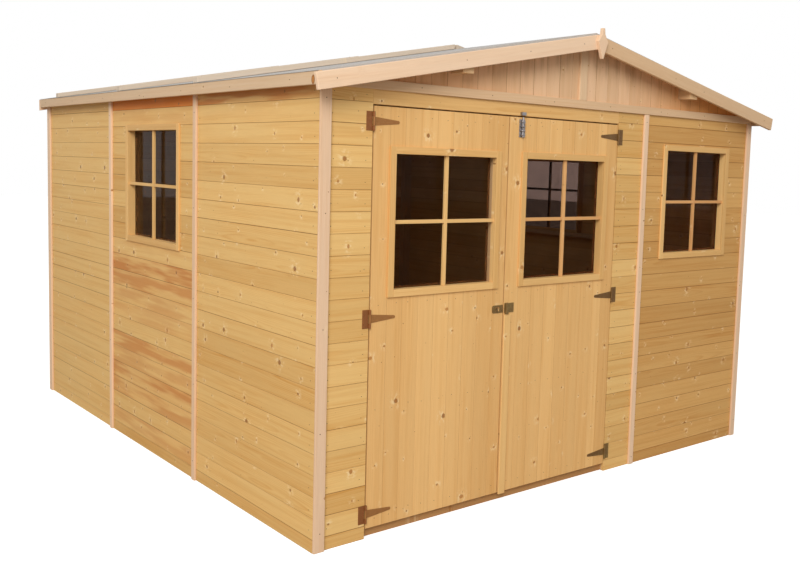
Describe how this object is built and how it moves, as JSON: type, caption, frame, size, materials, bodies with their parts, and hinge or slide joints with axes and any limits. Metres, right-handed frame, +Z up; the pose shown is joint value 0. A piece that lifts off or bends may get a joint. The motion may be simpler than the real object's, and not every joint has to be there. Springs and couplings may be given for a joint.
{
  "type": "wooden garden shed",
  "caption": "Wooden garden shed with horizontal boarding, cover strips, a low felted gable roof, framed windows and a pair of boarded doors that swing outwards on tee hinges.",
  "frame": {"origin": "on the ground, at the middle of the wall footprint, which is also on the underside of the middle floor bearer", "axes": "+Z up; -Y out through the doors; +X to the right as seen from outside the doors"},
  "size_m": [3.106, 3.456, 2.2489],
  "materials": {
    "honey_boarding": "planed softwood boarding with a yellow treatment",
    "honey_joinery": "planed softwood with a yellow treatment",
    "pale_trim": "planed bare softwood",
    "bare_framing": "sawn bare softwood",
    "bronze_metal": "dark bronze lacquer",
    "zinc_metal": "bright zinc plate",
    "window_glass": "clear",
    "roofing_felt": "mineral-faced bitumen felt"
  },
  "bodies": {
    "shed": {"back_bargeboards": "pale_trim", "back_gable": "pale_trim", "back_wall": "honey_boarding", "bolt_keeper": "zinc_metal", "cover_strips": "pale_trim", "door_head": "honey_boarding", "door_sill": "bare_framing", "eave_fascias": "pale_trim", "felt_laths": "pale_trim", "finial": "pale_trim", "floor": "bare_framing", "floor_bearers": "bare_framing", "front_bargeboards": "pale_trim", "front_gable": "pale_trim", "front_gable_trim": "pale_trim", "front_return_left": "honey_boarding", "front_return_right": "honey_boarding", "front_wall_window": "honey_boarding", "front_window_frame": "honey_joinery", "left_hinge_plates": "bronze_metal", "left_wall_back": "honey_boarding", "left_wall_front": "honey_boarding", "left_wall_window": "honey_boarding", "left_window_frame": "honey_joinery", "right_hinge_plates": "bronze_metal", "right_wall_back": "honey_boarding", "right_wall_front": "honey_boarding", "right_wall_window": "honey_boarding", "right_window_frame": "honey_joinery", "roof_beams": "bare_framing", "roof_deck_left": "bare_framing", "roof_deck_right": "bare_framing", "roof_felt": "roofing_felt", "wall_rails": "bare_framing", "wall_studs": "bare_framing", "wall_window_glass": "window_glass"},
    "left_door": {"left_door_glass": "window_glass", "left_door_leaf": "honey_joinery", "left_door_ledges": "bare_framing", "left_door_straps": "bronze_metal", "left_door_window_frame": "honey_joinery", "left_latch_plate": "bronze_metal"},
    "right_door": {"right_door_glass": "window_glass", "right_door_leaf": "honey_joinery", "right_door_ledges": "bare_framing", "right_door_straps": "bronze_metal", "right_door_window_frame": "honey_joinery", "right_latch_plate": "bronze_metal", "meeting_strip": "honey_joinery", "door_bolt": "zinc_metal"}
  },
  "joints": [
    {"name": "left_door_hinge", "type": "hinge", "parent": "shed", "child": "left_door", "pos_m": [-1.22325, -1.664, 0.93], "axis": [0, 0, -1], "range_deg": [0, 165]},
    {"name": "right_door_hinge", "type": "hinge", "parent": "shed", "child": "right_door", "pos_m": [0.28425, -1.664, 0.93], "axis": [0, 0, 1], "range_deg": [0, 165]}
  ]
}
